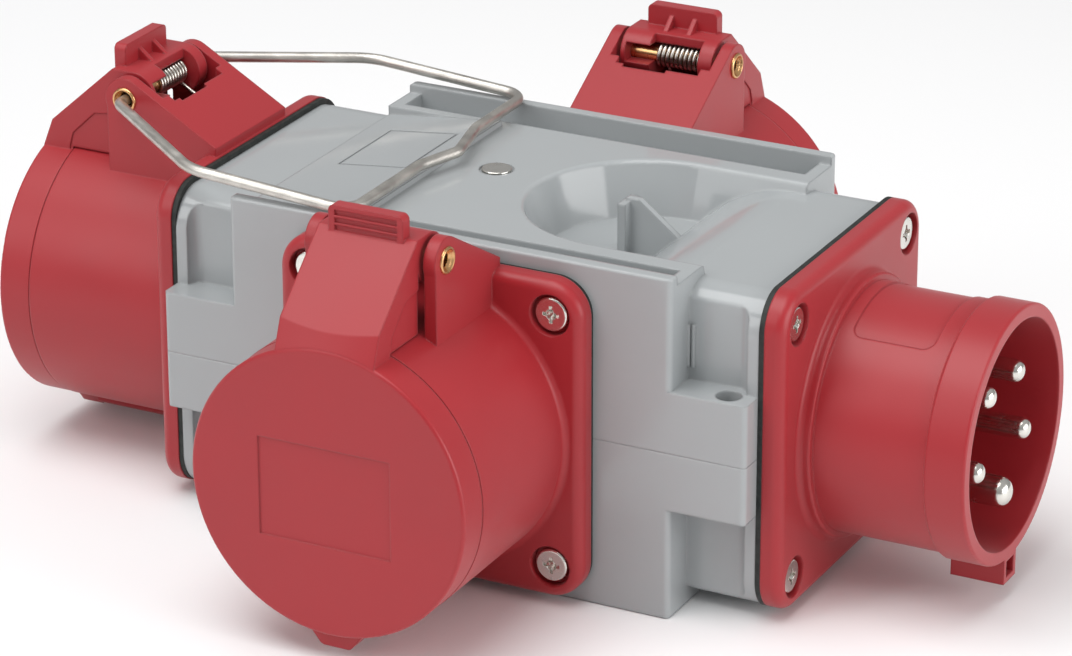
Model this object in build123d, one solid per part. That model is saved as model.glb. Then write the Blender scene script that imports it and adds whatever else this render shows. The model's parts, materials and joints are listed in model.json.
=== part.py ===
from build123d import *
import math
import os

# Portable power distribution box: one five-pole appliance inlet feeds three five-pole sockets with
# sprung lids, all on a two-part plastic housing with a wire bail to hang it by.
#
# World frame, millimetres: the origin is the centre of the housing's bottom face, +X points to the
# inlet, -Y to the front socket and +Z up.
# Port frame, for the inlet and each socket: u to the right, v up and n out of the housing wall,
# measured from the port's centre on the wall. Port pieces are modelled with u, v, n on X, Y, Z.

# ---- housing ----
CORE_X = 54.6            # half length of the full-width middle
END_X = 72.5             # end faces, which carry the inlet and the left socket
WALL_Y = 43.5            # front and back faces, which carry the other two sockets
NECK_Y = 34.5            # half width between the middle and an end plate
END_BOTTOM = 2.0
END_TOP = 75.5
DECK_TOP = 77.9
RAIL_TOP = 80.0
WALL = 3.0
PARTING_Z = 39.5
PORT_Z = 39.45           # height of all four port centres
LEDGE_LOW = 26.0         # corner blocks fill the notches between these heights
LEDGE_HIGH = 54.0
END_PLATE_SIZE = 74.6
END_PLATE_THICK = 2.8
END_PLATE_CORNER = 9.0
NECK_ROUND = 1.3
PLATE_FILLET = 2.6       # hollow fillet between the neck's sides and the end plate
EDGE_ROUND = 1.2         # upright edges of the middle and the corner blocks
GROOVE_Y = (32.7, 40.5)
GROOVE_FLOOR = 72.4
GROOVE_END = 51.5
STEP_X = -24.5           # the sloping label panel ends here, in a small step
PANEL_LOW = 75.7
PANEL_HIGH = 79.2
PANEL_BACK_Y = 30.0
POCKET_X = 27.5          # centre of the pocket's round end
POCKET_R = 27.5
POCKET_FLOOR = 65.6
POCKET_FLOOR_R = 23.4    # the walls lean outwards from this radius at the floor
POCKET_RIM = 1.2         # rounding of the pocket's rim
RAMP_END = 50.6          # the pocket's round ramp reaches the height of the neck here
RAMP_R = 26.5
SKIN = 2.7               # walls of the pocket and the grooves, seen from inside
TOP_SCREWS = ((66.5, -39.2), (-66.5, 39.2))      # corner screws put in from above
BOTTOM_SCREWS = ((66.5, 39.2), (-66.5, -39.2))   # corner screws put in from below
SCREW_COUNTERBORE = 8.0
STUD_AT = (-12.3, 4.2)
STUD_R = 3.5
LABEL_AT = (-39.0, 6.5)
LABEL_SIZE = (18.0, 25.0)
LABEL_TILT = 6.6

# ---- ports ----
FLANGE = 75.0
FLANGE_CORNER = 8.5
FLANGE_FACE = 6.0
FLANGE_ROUND = 2.4
FOOT_ROUND = 1.5         # hollow fillet at the foot of a barrel or shroud
GASKET = 1.2
GASKET_INSET = 0.25      # the sockets' gaskets end this far inside the flange
SIDE_SHIFT = 1.2         # the front and back sockets sit this far to the left, seen from outside
SCREW_PITCH = 59.6
SCREW_R = 1.9
SCREW_HEAD_R = 4.0
SCREW_SEAT = 3.4
SCREW_TOP = 5.4
SCREW_DEPTH = 12.0
BOSS_R = 4.2
WALL_HOLE_R = 24.5
SPIGOT_R = 23.9
CARRIER_R = 22.0         # rear part of a contact carrier, inside the housing
CARRIER_REAR = -22.0
CARRIER_SEAT = 5.0

# ---- contacts ----
PIN_CIRCLE_R = 14.1
POLES = {"l1": 198.0, "l2": 126.0, "l3": 54.0, "n": 342.0, "pe": 270.0}
PIN_R = {"l1": 2.5, "l2": 2.5, "l3": 2.5, "n": 2.5, "pe": 3.5}
PIN_TIP = {"l1": 42.9, "l2": 42.9, "l3": 42.9, "n": 42.9, "pe": 44.2}
PIN_SHOULDER = 0.3       # step from a pin to its shoulder in the inlet's carrier
CONTACT_PLAY = 0.05      # radial room for a pin in a contact sleeve
SLEEVE_WALL = 1.1
SLEEVE_FRONT = 36.0
TERMINAL_REAR = -20.0
WIRE_HOLE_END = -11.0
TERMINAL_SCREW_N = -16.0
TERMINAL_SCREW_R = 1.3
WIRE_R = 1.5             # trunk of a conductor
BRANCH_R = 1.35          # its branches to the side sockets

# ---- inlet ----
SHROUD_R = 28.3
FOOT_R = 29.9            # step at the shroud's foot
FOOT_TOP = 9.0
COLLAR_R = 29.3
COLLAR_START = 35.0
SHROUD_MOUTH = 44.6
SHROUD_INNER_R = 26.2
INLET_FACE = 7.5

# ---- sockets ----
BARREL_R = 33.3
BARREL_INNER_R = 29.7
BARREL_MOUTH = 43.4
INSERT_R = 26.0          # front part of the carrier, which plugs into a plug's shroud
INSERT_FACE = 38.0
KEY_HALF = 6.5           # keyway bump under the barrel
KEY_DEPTH = 36.4
LID_R = 33.2
LID_REAR = 43.6
LID_FACE = 51.8
LID_INNER_R = 31.6
LID_INNER = 49.2
NOSE_FACE = 48.8
NOSE_DEPTH = 37.2

# ---- lid hinge, in the port frame ----
HINGE_N = 26.2
HINGE_V = 47.3
EAR_HALF = 15.8          # outer faces of the bracket's ears
EAR_GAP = 12.9           # inner faces of the ears
EAR_R = 5.2
KNUCKLE_R = 5.6
ARM_HALF = 11.9
ARM_FRONT = 31.8         # the arm's upper face slopes down from here
ARM_SLOPE = 0.8875
CHEEK = 2.2
HOOD_SLOPE = 0.41        # the arm's front end is part of a cone about the lid's axis
TUBE_R = 2.1
TUBE_INNER_R = 1.6
FLARE_R = 3.1
HINGE_PLAY = 0.06
SPRING_R = 3.0
SPRING_U = (-8.1, 4.3)
TAB_HALF = 9.0
TAB_TOP = 58.0
TAB_N = (29.8, 32.8)
TAB_BORDER = 1.5

# ---- bail ----
BAIL_R = 1.3
BAIL_HALF = 42.0
BAIL_BAR_X = -24.5
BAIL_SHOULDER_X = -65.5


# ---------------------------------------------------------------- helpers

def block(x, y, z):
    """Box over three (low, high) ranges."""
    size = [high - low for low, high in (x, y, z)]
    centre = [(high + low) / 2 for low, high in (x, y, z)]
    return Pos(*centre) * Box(*size)


def disc(radius, low, high, at=(0, 0)):
    """Cylinder along Z between two heights."""
    return Pos(at[0], at[1], (low + high) / 2) * Cylinder(radius, high - low)


def ring(outer, inner, low, high, at=(0, 0)):
    """Tube along Z between two heights."""
    return disc(outer, low, high, at) - disc(inner, low, high, at)


def pad(width, corner, low, high):
    """Rounded square plate in a port frame."""
    return extrude(Pos(0, 0, low) * RectangleRounded(width, width, corner), amount=high - low)


def along_u(outline, low, high):
    """Prism of a closed (n, v) outline, running along u in a port frame."""
    side = Plane(origin=(high, 0, 0), x_dir=(0, 0, 1), z_dir=(-1, 0, 0))
    return extrude(side * make_face(Polyline(*outline, close=True)), amount=high - low)


def along_y(outline, low, high):
    """Prism of a closed (x, z) outline, running along Y in the world frame."""
    side = Plane(origin=(0, high, 0), x_dir=(1, 0, 0), z_dir=(0, -1, 0))
    return extrude(side * make_face(outline), amount=high - low)


def axle(radius, low, high):
    """Cylinder along u on the hinge axis of a port frame."""
    return Pos((low + high) / 2, HINGE_V, HINGE_N) * Rot(0, 90, 0) * Cylinder(radius, high - low)


def four_corners(half):
    return [(x, y) for x in (-half, half) for y in (-half, half)]


def pole_point(pole, facing=1):
    """Centre of a contact in its port frame. An inlet is the mirror image: facing is -1."""
    angle = math.radians(POLES[pole])
    return (facing * PIN_CIRCLE_R * math.cos(angle), PIN_CIRCLE_R * math.sin(angle))


def radial_rod(pole, facing, radius, inner, outer):
    """Cylinder that points from the port's axis out through a terminal."""
    pu, pv = pole_point(pole, facing)
    angle = math.degrees(math.atan2(pv, pu))
    rod = Pos((inner + outer) / 2, 0, TERMINAL_SCREW_N) * Rot(0, 90, 0) * Cylinder(radius, outer - inner)
    return Rot(0, 0, angle) * rod


def upright(x, y, turn):
    """Placement of a port frame on a housing wall, turned about the vertical."""
    return Pos(x, y, PORT_Z) * Rot(0, 0, turn) * Rot(90, 0, 0)


PORTS = {
    "front": upright(-SIDE_SHIFT, -WALL_Y, 0),
    "back": upright(SIDE_SHIFT, WALL_Y, 180),
    "left": upright(-END_X, 0, -90),
    "inlet": upright(END_X, 0, 90),
}
SOCKETS = ("front", "back", "left")


# ---------------------------------------------------------------- housing

def pocket_plan(grow, low, high):
    """Plan of the deck pocket: a round end and straight sides that run out to the right."""
    radius = POCKET_R + grow
    straight = block((POCKET_X, CORE_X + 0.4), (-radius, radius), (low, high))
    return disc(radius, low, high, (POCKET_X, 0)) + straight


def pocket_void():
    """Space between the leaning walls, over a floor that rises to the right in a round ramp."""
    middle = (POCKET_FLOOR + DECK_TOP) / 2
    bowl = Pos(POCKET_X, 0, middle) * Cone(POCKET_FLOOR_R, POCKET_R, DECK_TOP - POCKET_FLOOR)
    section = Polyline((-POCKET_R, DECK_TOP), (POCKET_R, DECK_TOP), (POCKET_FLOOR_R, POCKET_FLOOR),
                       (-POCKET_FLOOR_R, POCKET_FLOOR), close=True)
    start = Plane(origin=(POCKET_X, 0, 0), x_dir=(0, 1, 0), z_dir=(1, 0, 0))
    straight = extrude(start * make_face(section), amount=CORE_X + 0.4 - POCKET_X)
    ramp = Pos(RAMP_END, 0, END_TOP - RAMP_R) * Rot(90, 0, 0) * Cylinder(RAMP_R, 3 * POCKET_R)
    ramp += block((RAMP_END, CORE_X + 1), (-POCKET_R - 1, POCKET_R + 1), (POCKET_FLOOR - 1, END_TOP))
    return bowl + straight + pocket_plan(0, DECK_TOP, RAIL_TOP + 1) - ramp


def round_pocket_rim(body):
    """Body with the pocket's edge rounded where it meets the deck."""
    def on_rim(edge):
        middle = edge.position_at(0.5)
        across = abs(middle.Y) if middle.X > POCKET_X else math.hypot(middle.X - POCKET_X, middle.Y)
        return abs(middle.Z - DECK_TOP) < 0.01 and abs(across - POCKET_R) < 0.01

    return fillet([edge for edge in body.edges() if on_rim(edge)], POCKET_RIM)


def pocket_rib():
    """T-shaped rib that stands on the pocket floor."""
    upright_plate = block((22.0, 24.0), (-3.3, 3.3), (POCKET_FLOOR - 1, 78.0))
    web = Polyline((23, 64), (23, 78.8), (26.2, 78.8), (36.4, 70.8), (36.4, 64), close=True)
    return upright_plate + along_y(web, -0.9, 0.9)


def deck_cuts():
    """Everything that is lower than the rails on top of the middle."""
    inside_y = (-GROOVE_Y[1], GROOVE_Y[1])
    above = (DECK_TOP, RAIL_TOP + 1)
    cuts = block((STEP_X, CORE_X + 1), inside_y, above)
    cuts += block((-CORE_X - 1, STEP_X), (PANEL_BACK_Y, GROOVE_Y[1]), above)
    slope = Polyline((-CORE_X - 1, PANEL_LOW - 0.1), (STEP_X, PANEL_HIGH), (STEP_X, RAIL_TOP + 1),
                     (-CORE_X - 1, RAIL_TOP + 1), close=True)
    cuts += along_y(slope, inside_y[0], PANEL_BACK_Y)
    return cuts + groove_voids()


def groove_voids():
    """Slots behind the rails: the whole length at the back, the right half at the front."""
    deep = (GROOVE_FLOOR, RAIL_TOP + 1)
    back = block((-GROOVE_END, GROOVE_END), GROOVE_Y, deep)
    front = block((STEP_X, GROOVE_END), (-GROOVE_Y[1], -GROOVE_Y[0]), deep)
    return back + front


def housing_end(side):
    """Neck and end plate at one end, with hollow fillets between them; side is 1 at the inlet."""
    middle = (END_BOTTOM + END_TOP) / 2
    outline = RectangleRounded(END_PLATE_SIZE, END_TOP - END_BOTTOM, END_PLATE_CORNER)
    face = Plane(origin=(side * END_X, 0, middle), x_dir=(0, 1, 0), z_dir=(1, 0, 0))
    whole = extrude(face * outline, amount=side * (CORE_X - 1 - END_X))
    neck = whole & block((-90, 90), (-NECK_Y, NECK_Y), (0, RAIL_TOP))
    edges = [e for e in neck.edges().filter_by(Axis.X) if abs(e.center().Y) > NECK_Y - 0.01]
    neck = fillet(edges, NECK_ROUND)
    back = END_X - END_PLATE_THICK
    for y in (-1, 1):
        x_span = sorted((side * back, side * (back - PLATE_FILLET)))
        y_span = sorted((y * (NECK_Y - 2), y * (NECK_Y + PLATE_FILLET)))
        centre = Pos(side * (back - PLATE_FILLET), y * (NECK_Y + PLATE_FILLET), middle)
        strip = block(x_span, y_span, (0, RAIL_TOP)) - centre * Cylinder(PLATE_FILLET, 2 * RAIL_TOP)
        neck += strip & whole
    return neck + extrude(face * outline, amount=-side * END_PLATE_THICK)


def housing_outside():
    middle = block((-CORE_X, CORE_X), (-WALL_Y, WALL_Y), (0, RAIL_TOP))
    corner_blocks = block((-END_X, END_X), (-WALL_Y, WALL_Y), (LEDGE_LOW, LEDGE_HIGH))
    body = middle + corner_blocks
    body = fillet(body.edges().filter_by(Axis.Z), EDGE_ROUND)
    body = fillet(body.faces().sort_by(Axis.Z)[-1].edges(), 0.6)
    return body - deck_cuts() + housing_end(1) + housing_end(-1)


def housing_cavity():
    """Hollow inside the housing, around the pocket and the grooves."""
    low = WALL
    inner_y = WALL_Y - WALL
    core = block((-CORE_X + WALL, CORE_X - WALL), (-inner_y, inner_y), (low, DECK_TOP - WALL))
    core -= block((-CORE_X, STEP_X), (-inner_y, inner_y), (END_TOP - WALL, RAIL_TOP))
    trough = GROOVE_Y[0] - SKIN
    for y in ((trough, WALL_Y), (-WALL_Y, -trough)):
        core -= block((-CORE_X, CORE_X), y, (GROOVE_FLOOR - SKIN, RAIL_TOP))
    core -= pocket_plan(SKIN, POCKET_FLOOR - SKIN, RAIL_TOP)
    neck_y = NECK_Y - WALL
    ends = block((-END_X + WALL, END_X - WALL), (-neck_y, neck_y), (END_BOTTOM + WALL, END_TOP - WALL))
    ends -= block((-CORE_X, CORE_X), (-WALL_Y, WALL_Y), (0, RAIL_TOP))
    join = block((-CORE_X, CORE_X), (-neck_y, neck_y), (END_BOTTOM + WALL, POCKET_FLOOR - SKIN))
    return core + ends + join


def port_screw_bosses():
    half = SCREW_PITCH / 2
    bosses = [disc(BOSS_R, -SCREW_DEPTH - 1, -1, at) for at in four_corners(half)]
    return [place * boss for place in PORTS.values() for boss in bosses]


def port_wall_cuts():
    """Hole for the port's spigot and carrier, and pilot holes for its four screws."""
    cuts = [disc(WALL_HOLE_R, -8, 1)]
    cuts += [disc(SCREW_R, -SCREW_DEPTH, 1, at) for at in four_corners(SCREW_PITCH / 2)]
    return [place * cut for place in PORTS.values() for cut in cuts]


def seal_strip():
    """Flat sealing cord in the parting face, left out where the ports pass through the wall."""
    outside = RectangleRounded(2 * END_X - 2.2, 2 * WALL_Y - 2.2, 2.0)
    inside = RectangleRounded(2 * END_X - 4.6, 2 * WALL_Y - 4.6, 1.0)
    strip = extrude(Pos(0, 0, PARTING_Z - 1.0) * (outside - inside), amount=1.7)
    for place in PORTS.values():
        strip -= place * disc(WALL_HOLE_R + 2, -8, 1)
    return strip


def housing():
    """The whole housing before it is split at the parting plane."""
    body = housing_outside() - housing_cavity()
    body += port_screw_bosses()
    body -= groove_voids()
    body = round_pocket_rim(body - pocket_void())
    body += pocket_rib()
    body -= port_wall_cuts()
    return body - seal_strip()


def notch_ribs():
    """Short moulded ribs on the sides of the upper notches, one pair to a corner."""
    ribs = []
    for side_x in (-1, 1):
        for side_y in (-1, 1):
            for offset in (0.2, 1.4):
                x = side_x * (CORE_X + offset)
                y = side_y * (NECK_Y + 0.3)
                ribs.append(block((x - 0.4, x + 0.4), (y - 0.5, y + 0.5), (57, 67)))
    return ribs


def label_frame():
    """Shallow groove that frames a blank label panel on the sloping part of the deck."""
    x, y = LABEL_SIZE
    place = Pos(*LABEL_AT, 77.5) * Rot(0, -LABEL_TILT, 0)
    return place * (Box(x, y, 0.6) - Box(x - 0.8, y - 0.8, 2))


def corner_cuts(head_points, thread_points, head_z, deep_z):
    """Stepped holes for the screws put in from this side, and pilot holes for the others."""
    outside = 1 if head_z > PARTING_Z else -1
    seat = head_z - outside * SCREW_COUNTERBORE
    cuts = []
    for at in head_points:
        cuts.append(disc(2.9, *sorted((seat, head_z + outside)), at))
        cuts.append(disc(1.7, *sorted((PARTING_Z - outside, head_z)), at))
    for at in thread_points:
        cuts.append(disc(1.5, *sorted((PARTING_Z - outside, deep_z)), at))
    return cuts


def upper_shell(whole):
    shell = whole & block((-90, 90), (-60, 60), (PARTING_Z, 90))
    for cut in corner_cuts(TOP_SCREWS, BOTTOM_SCREWS, LEDGE_HIGH, LEDGE_HIGH - 2):
        shell -= cut
    shell -= label_frame()
    shell -= disc(STUD_R + 0.5, DECK_TOP - 0.5, DECK_TOP + 1, STUD_AT)
    return shell + notch_ribs()


def lower_shell(whole):
    shell = whole & block((-90, 90), (-60, 60), (-1, PARTING_Z))
    for cut in corner_cuts(BOTTOM_SCREWS, TOP_SCREWS, LEDGE_LOW, LEDGE_LOW + 2):
        shell -= cut
    for x in (-40, 40):
        for y in (-34, 34):
            shell += disc(4.5, 0, WALL, (x, y)) - disc(3.0, -1, 1.2, (x, y))
    return shell


def cross_recess(size, top, depth):
    """Cross-shaped driver recess, cut down from a screw's head, deepest in the middle."""
    arms = Box(size, size * 0.2, depth) + Box(size * 0.2, size, depth)
    middle = Pos(0, 0, -depth / 2) * Cone(0.1 * size, 0.32 * size, depth)
    return Pos(0, 0, top) * (arms + middle)


def housing_screws():
    seat = LEDGE_HIGH - SCREW_COUNTERBORE
    head = fillet(disc(2.7, seat, seat + 3).edges().sort_by(Axis.Z)[-1], 0.6)
    screw = head + disc(1.5, LEDGE_LOW + 3, seat) - cross_recess(3.2, seat + 3, 1.5)
    turned = Pos(0, 0, LEDGE_LOW + LEDGE_HIGH) * Rot(180, 0, 0) * screw
    screws = [Pos(x, y, 0) * screw for x, y in TOP_SCREWS]
    screws += [Pos(x, y, 0) * turned for x, y in BOTTOM_SCREWS]
    return Compound(screws)


def deck_stud():
    """Round bright plug that stands in a recess in the deck."""
    stud = disc(STUD_R, DECK_TOP - 0.5, DECK_TOP + 0.3, STUD_AT)
    return fillet(stud.edges().sort_by(Axis.Z)[-1], 0.25)


# ---------------------------------------------------------------- parts shared by all ports

def gasket(inset=0.0):
    plate = pad(FLANGE - 2 * inset, FLANGE_CORNER - inset, 0, GASKET)
    plate -= disc(WALL_HOLE_R, -1, GASKET + 1)
    for at in four_corners(SCREW_PITCH / 2):
        plate -= disc(SCREW_R + 0.2, -1, GASKET + 1, at)
    return plate


def flange():
    plate = pad(FLANGE, FLANGE_CORNER, GASKET, FLANGE_FACE)
    return fillet(plate.faces().sort_by(Axis.Z)[-1].edges(), FLANGE_ROUND)


def round_foot(body, radius):
    """Body with a hollow fillet where a round boss of this radius stands on the flange."""
    circles = [e for e in body.edges().filter_by(GeomType.CIRCLE) if abs(e.radius - radius) < 0.01]
    return fillet([e for e in circles if abs(e.center().Z - FLANGE_FACE) < 0.01], FOOT_ROUND)


def flange_holes():
    """Screw holes and the opening that the contact carrier passes through."""
    cuts = [disc(CARRIER_R + 0.3, -5, CARRIER_SEAT + 1)]
    for at in four_corners(SCREW_PITCH / 2):
        cuts.append(disc(SCREW_R + 0.2, 0, FLANGE_FACE + 1, at))
        cuts.append(disc(SCREW_HEAD_R + 0.8, SCREW_SEAT, FLANGE_FACE + 4, at))
    return cuts


def spigot():
    return ring(SPIGOT_R, CARRIER_R + 0.3, -3.5, GASKET + 1)


def port_screws():
    head = fillet(disc(SCREW_HEAD_R, SCREW_SEAT, SCREW_TOP).edges().sort_by(Axis.Z)[-1], 0.7)
    screw = head + disc(SCREW_R, -SCREW_DEPTH + 0.5, SCREW_SEAT) - cross_recess(3.9, SCREW_TOP, 1.7)
    return Compound([Pos(u, v, 0) * screw for u, v in four_corners(SCREW_PITCH / 2)])


def terminal_cuts(pole, facing):
    """Wire hole and clamping-screw hole in the rear of a contact."""
    at = pole_point(pole, facing)
    wire = disc(WIRE_R, TERMINAL_REAR - 1, WIRE_HOLE_END, at)
    return wire + radial_rod(pole, facing, TERMINAL_SCREW_R, PIN_CIRCLE_R, CARRIER_R)


def terminal_screws(facing):
    """Grub screws that clamp the wires, one to a pole."""
    inner = PIN_CIRCLE_R + WIRE_R + 0.05
    screws = []
    for pole in POLES:
        screw = radial_rod(pole, facing, TERMINAL_SCREW_R, inner, CARRIER_R - 0.8)
        slot = radial_rod(pole, facing, 0.5, CARRIER_R - 1.8, CARRIER_R)
        screws.append(screw - slot)
    return Compound(screws)


def screw_access(facing):
    return [radial_rod(pole, facing, TERMINAL_SCREW_R, PIN_CIRCLE_R, CARRIER_R + 1) for pole in POLES]


def contact_radius(pole):
    return PIN_R[pole] + CONTACT_PLAY + SLEEVE_WALL


# ---------------------------------------------------------------- inlet

def label_recess():
    """Shallow panel with round corners, wrapped over the top of the shroud."""
    panel = Pos(0, 10, 21.5) * Rot(-90, 0, 0) * extrude(RectangleRounded(32, 19, 2.5), amount=30)
    return panel & ring(SHROUD_R + 1, SHROUD_R - 0.4, 10, 33)


def inlet_body():
    body = round_foot(flange() + spigot() + disc(FOOT_R, GASKET, FOOT_TOP), FOOT_R)
    top = [e for e in body.edges().filter_by(GeomType.CIRCLE) if abs(e.center().Z - FOOT_TOP) < 0.01]
    body = fillet(top, 0.5)
    body += disc(SHROUD_R, GASKET, COLLAR_START + 1)
    collar = disc(COLLAR_R, COLLAR_START, SHROUD_MOUTH)
    collar = chamfer(collar.edges().sort_by(Axis.Z)[0], 0.6)
    body += fillet(collar.edges().sort_by(Axis.Z)[-1], 0.6)
    body += key_lug()
    body -= disc(SHROUD_INNER_R, CARRIER_SEAT, SHROUD_MOUTH + 1)
    body -= label_recess()
    for cut in flange_holes():
        body -= cut
    return body


def key_lug():
    """Hollow key under the shroud's mouth, which only fits the keyway of a matching connector."""
    lug = block((-3.4, 3.4), (-34.8, -SHROUD_INNER_R), (32, SHROUD_MOUTH))
    return lug - block((-2.1, 2.1), (-33.5, -29.6), (34, SHROUD_MOUTH + 1))


def inlet_carrier():
    carrier = disc(CARRIER_R, CARRIER_REAR, CARRIER_SEAT)
    carrier += disc(SHROUD_INNER_R - 0.2, CARRIER_SEAT, INLET_FACE)
    for pole in POLES:
        at = pole_point(pole, -1)
        carrier -= disc(contact_radius(pole), CARRIER_REAR - 1, CARRIER_SEAT + 1, at)
        carrier -= disc(PIN_R[pole] + PIN_SHOULDER, 0, INLET_FACE + 1, at)
    for cut in screw_access(-1):
        carrier -= cut
    return carrier


def inlet_pin(pole):
    """Round-nosed contact pin with a shoulder in the carrier and its terminal behind."""
    at = pole_point(pole, -1)
    nose = fillet(disc(PIN_R[pole], 0, PIN_TIP[pole], at).edges().sort_by(Axis.Z)[-1], 0.8 * PIN_R[pole])
    shoulder = disc(PIN_R[pole] + PIN_SHOULDER, 0, INLET_FACE, at)
    terminal = disc(contact_radius(pole), TERMINAL_REAR, CARRIER_SEAT + 1, at)
    return nose + shoulder + terminal - terminal_cuts(pole, -1)


def inlet_nodes():
    return {
        "inlet_gasket": gasket(),
        "inlet_body": inlet_body(),
        "inlet_screws": port_screws(),
        "inlet_contact_carrier": inlet_carrier(),
        "inlet_phase_pins": Compound([inlet_pin(pole) for pole in ("l1", "l2", "l3")]),
        "inlet_neutral_pin": inlet_pin("n"),
        "inlet_earth_pin": inlet_pin("pe"),
        "inlet_terminal_screws": terminal_screws(-1),
    }


# ---------------------------------------------------------------- sockets

def hinge_bracket():
    """Two ears for the hinge pin, joined by a sloping plate with a window for the lid's arm."""
    outline = [(31.0, 28.0), (31.0, HINGE_V), (HINGE_N - 2.6, HINGE_V + 4.5), (2.0, 39.4), (2.0, 28.0)]
    bracket = along_u(outline, -EAR_HALF, EAR_HALF) + axle(EAR_R, -EAR_HALF, EAR_HALF)
    under_plate = [(4.5, 20), (4.5, 38.0), (24.0, 49.2), (24.0, 60), (40, 60), (40, 20)]
    bracket -= along_u(under_plate, -EAR_GAP, EAR_GAP)
    windows = (((-EAR_GAP, EAR_GAP), 17.6), ((-10.7, 10.6), 15.8), ((-2.5, 8.6), 15.0))
    for u, start in windows:
        bracket -= block(u, (35, 60), (start, 40))
    return bracket


def socket_body():
    body = round_foot(flange() + spigot() + disc(BARREL_R, GASKET, BARREL_MOUTH), BARREL_R)
    key = block((-KEY_HALF, KEY_HALF), (-KEY_DEPTH, -20), (GASKET, BARREL_MOUTH))
    key_edges = key.edges().filter_by(Axis.Z).group_by(Axis.Y)[0]
    body += fillet(key_edges, 3.0)
    body += hinge_bracket()
    body -= disc(BARREL_INNER_R, CARRIER_SEAT, BARREL_MOUTH + 1)
    body -= block((-3.9, 3.9), (-35.0, -20), (8, BARREL_MOUTH + 1))
    body -= axle(TUBE_R, -EAR_HALF - 1, EAR_HALF + 1)
    for cut in flange_holes():
        body -= cut
    return body


def socket_carrier():
    carrier = disc(CARRIER_R, CARRIER_REAR, CARRIER_SEAT) + disc(INSERT_R, CARRIER_SEAT, INSERT_FACE)
    carrier = fillet(carrier.edges().sort_by(Axis.Z)[-1], 0.8)
    for pole in POLES:
        at = pole_point(pole)
        carrier -= disc(contact_radius(pole), CARRIER_REAR - 1, SLEEVE_FRONT, at)
        carrier -= disc(PIN_R[pole] + 0.3, SLEEVE_FRONT - 1, INSERT_FACE + 1, at)
    for cut in screw_access(1):
        carrier -= cut
    return carrier


def contact_sleeve(pole):
    """Tubular contact that receives a plug's pin, with its terminal behind."""
    at = pole_point(pole)
    sleeve = disc(contact_radius(pole), TERMINAL_REAR, SLEEVE_FRONT, at)
    sleeve -= disc(PIN_R[pole] + CONTACT_PLAY, -6, SLEEVE_FRONT + 1, at)
    return sleeve - terminal_cuts(pole, 1)


def hinge_pin():
    """Brass tube through both ears, rolled over at each end."""
    tube = axle(TUBE_R, -EAR_HALF, EAR_HALF)
    for side in (-1, 1):
        low, high = sorted((side * EAR_HALF, side * (EAR_HALF + 0.6)))
        flare = axle(FLARE_R, low, high)
        outer = flare.edges().filter_by(GeomType.CIRCLE).sort_by(Axis.X)[-1 if side > 0 else 0]
        tube += fillet(outer, 0.5)
        mouth = Cone(TUBE_INNER_R, FLARE_R - 0.6, 1.2)
        tube -= Pos(side * EAR_HALF, HINGE_V, HINGE_N) * Rot(0, side * 90, 0) * mouth
    return tube - axle(TUBE_INNER_R, -20, 20)


def hinge_spring():
    """Envelope of the torsion spring's coil, with a leg under the plate and one inside the arm."""
    coil = axle(SPRING_R, *SPRING_U) - axle(TUBE_R + 0.2, -20, 20)
    leg = 0.45
    fixed = along_u([(HINGE_N - 1, HINGE_V - 2.4), (HINGE_N - 10, HINGE_V - 7.6),
                     (HINGE_N - 10, HINGE_V - 8.6), (HINGE_N - 1, HINGE_V - 3.9)],
                    SPRING_U[0], SPRING_U[0] + 2 * leg)
    moving = along_u([(HINGE_N + 1.8, HINGE_V - 1.2), (HINGE_N + 2.7, HINGE_V - 1.2),
                      (HINGE_N + 7.0, HINGE_V - 8.4), (HINGE_N + 6.2, HINGE_V - 8.4)],
                     SPRING_U[1] - 2 * leg, SPRING_U[1])
    return coil + (fixed + moving - axle(TUBE_R + 0.2, -20, 20))


def lid_disc():
    cap = disc(LID_R, LID_REAR, LID_FACE)
    cap = fillet(cap.faces().sort_by(Axis.Z)[-1].edges(), 0.8)
    cap += lid_nose()
    return cap - block((-16.5, 15.4), (-12.3, 10.5), (LID_FACE - 0.35, LID_FACE + 1))


def lid_nose():
    """Tapered lip at the bottom of the lid, set back from its face."""
    outline = Polyline((-8.5, -31), (-3.5, -NOSE_DEPTH), (3.5, -NOSE_DEPTH), (8.5, -31), (8.5, -20),
                       (-8.5, -20), close=True)
    nose = extrude(Pos(0, 0, LID_REAR) * make_face(outline), amount=NOSE_FACE - LID_REAR)
    nose = fillet(nose.edges().filter_by(Axis.Z).group_by(Axis.Y)[0], 1.5)
    return nose & block((-10, 10), (-40, -25), (LID_REAR, NOSE_FACE))


def lid_hood():
    """Space about the lid's axis that holds the arm: a cylinder with a cone for its front end."""
    wide = LID_R + 24
    height = (wide - LID_R) * HOOD_SLOPE
    front = LID_FACE - 0.3
    cone = Pos(0, 0, front - height / 2) * Cone(wide, LID_R, height)
    return disc(wide, 0, front - height) + cone


def arm_top(n):
    """Height of the arm's upper face."""
    return HINGE_V + KNUCKLE_R - ARM_SLOPE * (n - ARM_FRONT)


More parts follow.
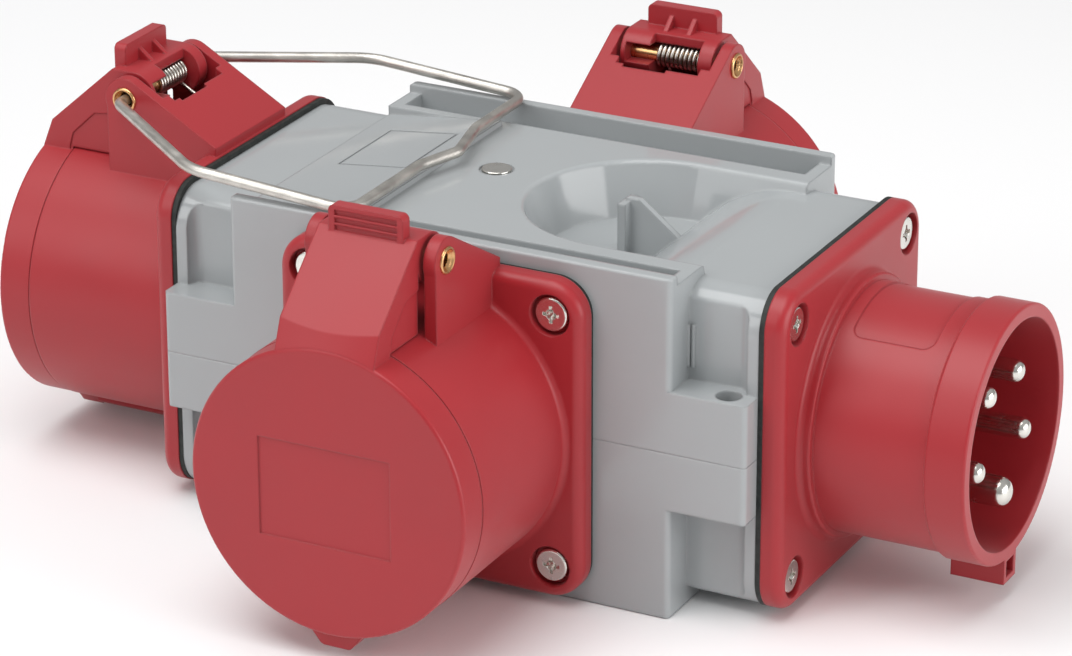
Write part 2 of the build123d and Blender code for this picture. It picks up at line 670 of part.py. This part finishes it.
def lid_arm():
    """Sloping arm with side cheeks that hug the barrel, and knuckles round the hinge pin."""
    outline = [(HINGE_N, arm_top(ARM_FRONT)), (ARM_FRONT, arm_top(ARM_FRONT)), (52.2, arm_top(52.2)),
               (52.2, 29.0), (LID_REAR, 29.0), (LID_REAR, 30.5), (31.6, 30.5), (31.6, HINGE_V)]
    arm = along_u(outline, -ARM_HALF, ARM_HALF) + axle(KNUCKLE_R, -ARM_HALF, ARM_HALF)
    arm = (arm & lid_hood()) - disc(BARREL_R + 0.4, 0, LID_REAR)
    hollow = [(10, 50.5), (31.2, 50.5), (45.6, 37.7), (45.6, 36.0), (LID_REAR, 35.6), (LID_REAR, 28),
              (10, 28)]
    arm -= along_u(hollow, -ARM_HALF + CHEEK, ARM_HALF - CHEEK)
    arm -= block((-ARM_HALF + CHEEK, ARM_HALF - CHEEK), (50, 60), (10, 24.8))
    arm += axle(KNUCKLE_R, -ARM_HALF, SPRING_U[0] - 0.2)
    arm += axle(KNUCKLE_R, SPRING_U[1] + 0.3, ARM_HALF)
    arm -= block((SPRING_U[1], ARM_HALF - 1.1), (HINGE_V - 1.3, HINGE_V + 3.2), (10, HINGE_N + 1))
    for panel in cheek_panels():
        arm -= panel
    return arm - axle(SPRING_R + 0.5, SPRING_U[0] - 0.2, SPRING_U[1] + 0.3)


def cheek_panels():
    """Shallow recess in the outside of each cheek."""
    outline = [(31.0, 41.9), (37.2, 41.1), (43.3, 35.3), (44.3, 32.0), (44.3, 30.0), (31.0, 30.0)]
    depth = 0.3
    return [along_u(outline, *span) for span in ((-ARM_HALF - 1, -ARM_HALF + depth),
                                                 (ARM_HALF - depth, ARM_HALF + 1))]


def thumb_tab():
    """Tab at the top of the arm, with grip grooves in front and two gussets behind."""
    rear, front = TAB_N
    plate = block((-TAB_HALF, TAB_HALF), (50.6, TAB_TOP), TAB_N)
    tab = fillet(plate.edges().filter_by(Axis.Z).group_by(Axis.Y)[-1], 1.4)
    grip = TAB_HALF - TAB_BORDER
    for step in range(3):
        v = 52.9 + 1.7 * step
        tab -= block((-grip, grip), (v - 0.58, v + 0.58), (front - 0.6, front + 1))
    for u in (-3.2, 2.8):
        gusset = [(rear + 0.2, 56.0), (25.6, 52.4), (25.6, 51.4), (rear + 0.2, 51.4)]
        tab += along_u(gusset, u - 0.6, u + 0.6)
    return tab


def lid():
    whole = lid_disc() + lid_arm() + thumb_tab() - disc(LID_INNER_R, LID_REAR - 1, LID_INNER)
    return whole - axle(TUBE_R + HINGE_PLAY, -20, 20)


def lid_seal():
    """Rubber ring inside the lid that closes on the barrel's mouth."""
    return ring(LID_INNER_R, BARREL_INNER_R - 1.4, BARREL_MOUTH + 0.05, BARREL_MOUTH + 2.6)


def socket_nodes(name):
    return {
        f"{name}_gasket": gasket(GASKET_INSET),
        f"{name}_socket_body": socket_body(),
        f"{name}_socket_screws": port_screws(),
        f"{name}_contact_carrier": socket_carrier(),
        f"{name}_contact_sleeves": Compound([contact_sleeve(pole) for pole in POLES]),
        f"{name}_terminal_screws": terminal_screws(1),
        f"{name}_hinge_pin": hinge_pin(),
        f"{name}_hinge_spring": hinge_spring(),
        f"{name}_lid": lid(),
        f"{name}_lid_seal": lid_seal(),
    }


# ---------------------------------------------------------------- wiring

def wire(radius, points, bend=2.2):
    """Round wire along straight runs joined by tangent arcs."""
    if len(points) == 2:
        path = Line(*points)
    else:
        path = FilletPolyline(*points, radius=bend)
    start = Plane(origin=points[0], z_dir=path % 0)
    return sweep(start * Circle(radius), path)


# Height of each branch above its own trunk where it crosses another pole's trunk, front then back.
BRANCH_LIFT = {"l1": (-5.0, 0), "l2": (5.0, 0), "l3": (0, -5.0), "n": (0, 5.0), "pe": (0, 0)}


def conductor(pole):
    """One pole's wiring: a trunk from the inlet to the left socket, and a branch to each side."""
    trunk_y, v = pole_point(pole, -1)
    z = PORT_Z + v
    end_x = END_X + WIRE_HOLE_END - 0.2
    tree = wire(WIRE_R, [(-end_x, trunk_y, z), (end_x, trunk_y, z)])
    end_y = WALL_Y + WIRE_HOLE_END - 0.2
    for side, lift in zip((-1, 1), BRANCH_LIFT[pole]):
        x = -side * (pole_point(pole)[0] - SIDE_SHIFT)
        start = (x, side * end_y, z)
        if lift == 0:
            tree += wire(BRANCH_R, [start, (x, trunk_y, z)])
            continue
        turn_y = side * 18.0
        lane = z + lift
        route = [start, (x, turn_y, z), (x, turn_y, lane), (x, trunk_y, lane), (x, trunk_y, z)]
        tree += wire(BRANCH_R, route)
    return tree


# ---------------------------------------------------------------- bail

def bail():
    """Wire bail hooked into the left socket's hinge tube, lying on the rails at rest."""
    hinge_x = -END_X - HINGE_N
    hinge_z = PORT_Z + HINGE_V
    rest_z = RAIL_TOP + BAIL_R + 0.1
    drop = (rest_z - hinge_z) / (BAIL_BAR_X - hinge_x)

    def point(x, y):
        return (x, y, hinge_z + drop * (x - hinge_x))

    front = [point(hinge_x, -9.0), point(hinge_x, -18.4), point(BAIL_SHOULDER_X, -BAIL_HALF),
             point(BAIL_BAR_X, -BAIL_HALF)]
    kink = [point(BAIL_BAR_X, -10.0), point(BAIL_BAR_X + 3.3, 2.5), point(BAIL_BAR_X, 17.0)]
    back = [point(x, -y) for x, y, z in reversed(front)]
    radii = [3.0, 13.0, 5.0, 8.0, 4.0, 8.0, 5.0, 13.0, 3.0]
    path = FilletPolyline(*front, *kink, *back, radius=radii)
    start = Plane(origin=front[0], z_dir=path % 0)
    return sweep(start * Circle(BAIL_R), path)


# ---------------------------------------------------------------- export

def main():
    whole = housing()
    nodes = {
        "upper_shell": upper_shell(whole),
        "lower_shell": lower_shell(whole),
        "housing_seal": seal_strip(),
        "housing_screws": housing_screws(),
        "deck_stud": deck_stud(),
        "bail": bail(),
    }
    for name, piece in inlet_nodes().items():
        nodes[name] = PORTS["inlet"] * piece
    for socket in SOCKETS:
        for name, piece in socket_nodes(socket).items():
            nodes[name] = PORTS[socket] * piece
    for pole in POLES:
        nodes[f"conductor_{pole}"] = conductor(pole)
    os.makedirs("parts", exist_ok=True)
    for name, piece in nodes.items():
        export_step(piece, f"parts/{name}.step")


main()
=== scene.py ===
import json
import math

import bpy
from mathutils import Matrix, Vector


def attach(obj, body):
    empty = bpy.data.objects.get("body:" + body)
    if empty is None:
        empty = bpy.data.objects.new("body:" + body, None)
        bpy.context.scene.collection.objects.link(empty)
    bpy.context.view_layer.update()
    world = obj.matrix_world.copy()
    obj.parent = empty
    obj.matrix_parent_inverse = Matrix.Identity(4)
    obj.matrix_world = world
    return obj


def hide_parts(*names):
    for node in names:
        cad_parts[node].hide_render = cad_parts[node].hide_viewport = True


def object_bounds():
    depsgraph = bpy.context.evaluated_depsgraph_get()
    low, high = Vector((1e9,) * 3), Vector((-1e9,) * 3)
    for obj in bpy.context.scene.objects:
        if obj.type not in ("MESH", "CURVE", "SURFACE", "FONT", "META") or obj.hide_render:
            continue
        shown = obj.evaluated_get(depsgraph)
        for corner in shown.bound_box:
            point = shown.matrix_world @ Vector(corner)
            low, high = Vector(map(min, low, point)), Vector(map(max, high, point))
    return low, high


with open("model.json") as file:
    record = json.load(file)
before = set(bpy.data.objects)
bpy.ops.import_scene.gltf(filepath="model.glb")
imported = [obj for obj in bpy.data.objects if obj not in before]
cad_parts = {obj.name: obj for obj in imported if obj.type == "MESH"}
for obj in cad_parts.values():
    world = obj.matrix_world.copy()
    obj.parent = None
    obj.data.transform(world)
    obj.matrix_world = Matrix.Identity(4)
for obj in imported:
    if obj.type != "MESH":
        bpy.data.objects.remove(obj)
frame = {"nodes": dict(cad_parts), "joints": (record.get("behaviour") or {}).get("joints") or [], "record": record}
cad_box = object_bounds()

# Looks for a portable power distribution box. Everything is in metres in the CAD model's frame:
# +X points to the inlet, -Y to the front socket and +Z up. Each lid's joint gives its socket's own
# frame: u along the hinge pin to the right, v up and n out of the housing.

MM = 0.001
NODES = frame["nodes"]
JOINTS = {joint["name"]: joint for joint in frame["joints"]}
SOCKETS = ("front", "back", "left")


# ---------------------------------------------------------------- material building blocks

class Shader:
    """A node material with one Principled shader, built up by a few short calls."""

    def __init__(self, name, roughness, metallic=0.0, specular=0.5):
        self.material = bpy.data.materials.new(name)
        self.material.use_nodes = True
        self.tree = self.material.node_tree
        self.main = self.tree.nodes["Principled BSDF"]
        self.main.inputs["Roughness"].default_value = roughness
        self.main.inputs["Metallic"].default_value = metallic
        self.main.inputs["Specular IOR Level"].default_value = specular
        coordinates = self.node("ShaderNodeTexCoord")
        self.place = coordinates.outputs["Object"]

    def node(self, kind, **settings):
        made = self.tree.nodes.new(kind)
        for name, value in settings.items():
            setattr(made, name, value)
        return made

    def link(self, source, target):
        self.tree.links.new(source, target)

    def noise(self, size, detail=3.0, roughness=0.5, stretch=(1, 1, 1)):
        """Noise whose features are about this size, in metres; stretch lengthens them per axis."""
        mapping = self.node("ShaderNodeMapping")
        mapping.inputs["Scale"].default_value = [1 / (size * s) for s in stretch]
        self.link(self.place, mapping.inputs["Vector"])
        texture = self.node("ShaderNodeTexNoise")
        texture.inputs["Scale"].default_value = 1.0
        texture.inputs["Detail"].default_value = detail
        texture.inputs["Roughness"].default_value = roughness
        self.link(mapping.outputs["Vector"], texture.inputs["Vector"])
        return texture.outputs["Fac"]

    def spread(self, value, low, high, from_low=0.3, from_high=0.7):
        """Maps a 0 to 1 value on to low to high."""
        ranged = self.node("ShaderNodeMapRange")
        ranged.inputs["From Min"].default_value = from_low
        ranged.inputs["From Max"].default_value = from_high
        ranged.inputs["To Min"].default_value = low
        ranged.inputs["To Max"].default_value = high
        self.link(value, ranged.inputs["Value"])
        return ranged.outputs["Result"]

    def blend(self, factor, first, second):
        """Colour between two colours; each is an RGB triple or a socket."""
        mix = self.node("ShaderNodeMix", data_type="RGBA")
        for socket, colour in ((mix.inputs[6], first), (mix.inputs[7], second)):
            if isinstance(colour, bpy.types.NodeSocket):
                self.link(colour, socket)
            else:
                socket.default_value = (*colour, 1.0)
        self.link(factor, mix.inputs[0])
        return mix.outputs[2]

    def colour(self, socket):
        self.link(socket, self.main.inputs["Base Color"])

    def roughness(self, socket):
        self.link(socket, self.main.inputs["Roughness"])

    def relief(self, layers, edge=0.0):
        """Bumps as (height socket, depth in metres), over rounded edges of the given radius."""
        normal = None
        if edge:
            rounded = self.node("ShaderNodeBevel", samples=6)
            rounded.inputs["Radius"].default_value = edge
            normal = rounded.outputs["Normal"]
        for height, depth in layers:
            bump = self.node("ShaderNodeBump")
            bump.inputs["Strength"].default_value = 1.0
            bump.inputs["Distance"].default_value = depth
            self.link(height, bump.inputs["Height"])
            if normal is not None:
                self.link(normal, bump.inputs["Normal"])
            normal = bump.outputs["Normal"]
        self.link(normal, self.main.inputs["Normal"])


def moulded_plastic(name, colour, roughness, grain, depth, edge, tint, sheen=0.0):
    """Injection moulding: faint flow marks, mould ripple, a grain of the given depth and rounded edges."""
    shader = Shader(name, roughness)
    shader.main.inputs["Sheen Weight"].default_value = sheen
    shader.main.inputs["Sheen Roughness"].default_value = 0.45
    flow = shader.noise(26 * MM, detail=2.0)
    fine = shader.noise(grain, detail=2.0, roughness=0.6)
    pale = [min(1.0, channel * (1 + tint) + 0.3 * tint * tint) for channel in colour]
    deep = [channel * (1 - tint) for channel in colour]
    mottled = shader.blend(shader.spread(flow, 0.2, 0.8), deep, pale)
    shader.colour(shader.blend(shader.spread(fine, 0.0, 0.25), mottled, pale))
    shader.roughness(shader.spread(flow, roughness - 0.03, roughness + 0.04))
    ripple = shader.noise(11 * MM, detail=1.0)
    shader.relief([(ripple, 0.03 * MM), (fine, depth)], edge)
    return shader.material


def rubber(name):
    """Matt black rubber with a little dust on it."""
    clean, dusty = (0.010, 0.012, 0.011), (0.030, 0.034, 0.031)
    shader = Shader(name, 0.62, specular=0.4)
    dust = shader.noise(1.5 * MM, detail=4.0)
    shader.colour(shader.blend(shader.spread(dust, 0.0, 1.0), clean, dusty))
    shader.relief([(dust, 0.02 * MM)], 0.25 * MM)
    return shader.material


def plated_metal(name, colour, roughness, wear):
    """Bright plated or turned metal with faint tool marks and slightly worn edges."""
    shader = Shader(name, roughness, metallic=1.0)
    marks = shader.noise(0.5 * MM, detail=3.0, stretch=(1, 1, 5))
    cloud = shader.noise(3 * MM, detail=3.0)
    dull = [channel * (1 - wear) for channel in colour]
    shader.colour(shader.blend(shader.spread(cloud, 0.0, 1.0), colour, dull))
    shader.roughness(shader.spread(cloud, roughness * 0.8, roughness * 1.4))
    shader.relief([(marks, 0.004 * MM)], 0.2 * MM)
    return shader.material


def drawn_wire(name, colour, roughness):
    """Drawn steel wire: lengthwise die lines and a slightly clouded skin."""
    shader = Shader(name, roughness, metallic=1.0)
    lines = shader.noise(0.35 * MM, detail=3.0, stretch=(14, 14, 1))
    cloud = shader.noise(5 * MM, detail=4.0)
    dull = [channel * 0.72 for channel in colour]
    shader.colour(shader.blend(shader.spread(cloud, 0.0, 1.0), colour, dull))
    shader.roughness(shader.spread(lines, roughness * 0.8, roughness * 1.3))
    shader.relief([(lines, 0.006 * MM)])
    return shader.material


def insulation(name, colour, stripe=None):
    """Wire insulation, with a second colour along it on the earth conductor."""
    shader = Shader(name, 0.45)
    cloud = shader.noise(4 * MM, detail=2.0)
    pale = [channel * 1.3 + 0.01 for channel in colour]
    mixed = shader.blend(shader.spread(cloud, 0.0, 1.0), colour, pale)
    if stripe:
        band = shader.node("ShaderNodeTexWave", wave_type="BANDS", bands_direction="Z")
        band.inputs["Scale"].default_value = 1 / (12 * MM)
        shader.link(shader.place, band.inputs["Vector"])
        mixed = shader.blend(shader.spread(band.outputs["Fac"], 0, 1, 0.45, 0.55), mixed, stripe)
    shader.colour(mixed)
    shader.relief([(cloud, 0.01 * MM)])
    return shader.material


def make_materials():
    """One material for each slot in the record."""
    return {
        "grey_plastic": moulded_plastic("grey_plastic", (0.372, 0.391, 0.398), 0.12, grain=0.5 * MM,
                                        depth=0.0008 * MM, edge=0.8 * MM, tint=0.02),
        "red_plastic": moulded_plastic("red_plastic", (0.355, 0.0135, 0.020), 0.40, grain=0.34 * MM,
                                       depth=0.014 * MM, edge=0.6 * MM, tint=0.05, sheen=0.12),
        "black_rubber": rubber("black_rubber"),
        "bright_nickel": plated_metal("bright_nickel", (0.80, 0.78, 0.73), 0.20, 0.12),
        "zinc_steel": plated_metal("zinc_steel", (0.62, 0.61, 0.57), 0.34, 0.2),
        "steel_wire": drawn_wire("steel_wire", (0.70, 0.67, 0.62), 0.40),
        "spring_steel": drawn_wire("spring_steel", (0.74, 0.70, 0.64), 0.30),
        "brass_tube": plated_metal("brass_tube", (0.80, 0.47, 0.22), 0.24, 0.2),
        "brass_contact": plated_metal("brass_contact", (0.78, 0.60, 0.28), 0.30, 0.2),
        "wire_l1": insulation("wire_l1", (0.12, 0.045, 0.02)),
        "wire_l2": insulation("wire_l2", (0.02, 0.02, 0.02)),
        "wire_l3": insulation("wire_l3", (0.25, 0.26, 0.27)),
        "wire_n": insulation("wire_n", (0.03, 0.12, 0.45)),
        "wire_pe": insulation("wire_pe", (0.10, 0.32, 0.04), (0.65, 0.55, 0.03)),
    }


MATERIALS = make_materials()


def paint_cad_nodes():
    """Gives every CAD node the material of its slot."""
    for row in frame["record"]["subparts"]:
        node = NODES[row["node"]]
        material = MATERIALS[row["material_slot"]]
        if not node.material_slots:
            node.data.materials.append(material)
        for place in node.material_slots:
            place.material = material


# ---------------------------------------------------------------- hinge springs

def socket_frame(socket):
    """Matrix from a socket's (u, v, n), measured from the middle of its hinge pin, to the world."""
    joint = JOINTS[f"{socket}_lid_hinge"]
    u = -Vector(joint["axis"])
    v = Vector((0, 0, 1))
    n = u.cross(v)
    turn = Matrix((u, v, n)).transposed().to_4x4()
    return Matrix.Translation(joint["pos_m"]) @ turn


def helix(radius, low, high, turns, steps):
    """Points of a coil round the hinge axis, as (u, v, n)."""
    points = []
    for i in range(turns * steps + 1):
        angle = 2 * math.pi * i / steps
        along = low + (high - low) * i / (turns * steps)
        points.append(Vector((along, radius * math.sin(angle), radius * math.cos(angle))))
    return points


def wire_mesh(name, points, radius, smoothness=3):
    """Round wire along a line of points, as a mesh piece."""
    curve = bpy.data.curves.new(name, "CURVE")
    curve.dimensions = "3D"
    curve.bevel_depth = radius
    curve.bevel_resolution = smoothness
    curve.use_fill_caps = True
    spline = curve.splines.new("POLY")
    spline.points.add(len(points) - 1)
    for target, point in zip(spline.points, points):
        target.co = (*point, 1.0)
    holder = bpy.data.objects.new(name + "_line", curve)
    bpy.context.scene.collection.objects.link(holder)
    bpy.context.view_layer.update()
    evaluated = holder.evaluated_get(bpy.context.evaluated_depsgraph_get())
    mesh = bpy.data.meshes.new_from_object(evaluated)
    bpy.data.objects.remove(holder)
    mesh.name = name
    for face in mesh.polygons:
        face.use_smooth = True
    piece = bpy.data.objects.new(name, mesh)
    bpy.context.scene.collection.objects.link(piece)
    return piece


def finish_piece(piece, body, slot):
    """Gives a new piece its material and the body it moves with."""
    piece.data.materials.clear()
    piece.data.materials.append(MATERIALS[slot])
    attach(piece, body)


SPRING_WIRE_R = 0.44 * MM
SPRING_OUTER_R = 3.0 * MM
SPRING_FROM = -8.1 * MM      # the coil's ends, along the hinge pin
SPRING_TO = 4.3 * MM
SPRING_TURNS = 10
STEPS_PER_TURN = 36
FIXED_LEG = ((-8.0 * MM, -9.6 * MM), (-2.9 * MM, -0.9 * MM))    # (v, n), from the bracket to the coil
MOVING_LEG = ((-2.0 * MM, 3.4 * MM), (-8.0 * MM, 6.4 * MM))     # (v, n), from the coil to the lid's arm


def hinge_spring(socket):
    """Torsion spring wound round the hinge tube, with a leg at each end."""
    place = socket_frame(socket)
    low, high = SPRING_FROM + SPRING_WIRE_R, SPRING_TO - SPRING_WIRE_R
    coil = helix(SPRING_OUTER_R - SPRING_WIRE_R, low, high, SPRING_TURNS, STEPS_PER_TURN)
    fixed_leg = [Vector((low, *point)) for point in FIXED_LEG]
    moving_leg = [Vector((high, *point)) for point in MOVING_LEG]
    points = [place @ point for point in fixed_leg + coil + moving_leg]
    piece = wire_mesh(f"{socket}_spring_coil", points, SPRING_WIRE_R)
    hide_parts(f"{socket}_hinge_spring")
    finish_piece(piece, "box", "spring_steel")


# ---------------------------------------------------------------- stage, light and camera

FLOOR_HALF = 6.0
FLOOR_GAP = 0.2 * MM


def make_floor():
    """Plain pale floor, just under the object."""
    mesh = bpy.data.meshes.new("floor")
    level = cad_box[0].z - FLOOR_GAP
    signs = ((-1, -1), (1, -1), (1, 1), (-1, 1))
    corners = [(x * FLOOR_HALF, y * FLOOR_HALF, level) for x, y in signs]
    mesh.from_pydata(corners, [], [(0, 1, 2, 3)])
    floor = bpy.data.objects.new("floor", mesh)
    bpy.context.scene.collection.objects.link(floor)
    shader = Shader("pale_floor", 0.7, specular=0.2)
    cloud = shader.noise(0.6, detail=2.0)
    shader.colour(shader.blend(shader.spread(cloud, 0.0, 1.0), (0.93, 0.93, 0.93), (0.90, 0.90, 0.905)))
    mesh.materials.append(shader.material)


LIGHT_TARGET = Vector((0, 0, 0.04))


def area_light(name, place, size, power):
    """Soft rectangular light that faces the object."""
    data = bpy.data.lights.new(name, "AREA")
    data.shape = "RECTANGLE"
    data.size, data.size_y = size
    data.energy = power
    lamp = bpy.data.objects.new(name, data)
    lamp.location = place
    lamp.rotation_euler = (LIGHT_TARGET - Vector(place)).to_track_quat("-Z", "Y").to_euler()
    bpy.context.scene.collection.objects.link(lamp)


WORLD_STRENGTH = 0.46
LOW_SKY = (0.62, 0.62, 0.63, 1)
HIGH_SKY = (1, 1, 1, 1)


def make_world():
    """Soft white surroundings, a little darker towards the horizon."""
    world = bpy.data.worlds.new("studio")
    bpy.context.scene.world = world
    world.use_nodes = True
    tree = world.node_tree
    back = tree.nodes["Background"]
    coordinates = tree.nodes.new("ShaderNodeTexCoord")
    split = tree.nodes.new("ShaderNodeSeparateXYZ")
    ramp = tree.nodes.new("ShaderNodeValToRGB")
    for element, position, colour in zip(ramp.color_ramp.elements, (0.0, 0.75), (LOW_SKY, HIGH_SKY)):
        element.position = position
        element.color = colour
    tree.links.new(coordinates.outputs["Generated"], split.inputs["Vector"])
    tree.links.new(split.outputs["Z"], ramp.inputs["Fac"])
    tree.links.new(ramp.outputs["Color"], back.inputs["Color"])
    back.inputs["Strength"].default_value = WORLD_STRENGTH


def make_lights():
    area_light("top_softbox", (-0.15, -0.35, 1.25), (1.2, 0.9), 12.5)
    area_light("front_softbox", (-0.85, -1.25, 0.85), (0.8, 0.9), 6.1)
    area_light("right_softbox", (1.26, 0.03, 0.36), (1.1, 0.6), 8.8)


CAMERA_PLACE = (0.44706, -0.86755, 0.44942)
CAMERA_TURN = (90 - 22.627, -0.137, 27.273)   # degrees: tilt, roll and heading
CAMERA_LENS = 155.64
SENSOR_WIDTH = 36.0


def make_camera():
    """Camera above the front right corner."""
    data = bpy.data.cameras.new("camera")
    data.lens = CAMERA_LENS
    data.sensor_width = SENSOR_WIDTH
    camera = bpy.data.objects.new("camera", data)
    tilt, roll, heading = (math.radians(angle) for angle in CAMERA_TURN)
    turn = Matrix.Rotation(heading, 4, "Z") @ Matrix.Rotation(tilt, 4, "X") @ Matrix.Rotation(roll, 4, "Z")
    camera.matrix_world = Matrix.Translation(CAMERA_PLACE) @ turn
    bpy.context.scene.collection.objects.link(camera)
    bpy.context.scene.camera = camera


make_camera()
paint_cad_nodes()
for socket in SOCKETS:
    hinge_spring(socket)
make_floor()
make_world()
make_lights()
bpy.context.scene.view_settings.view_transform = "Standard"
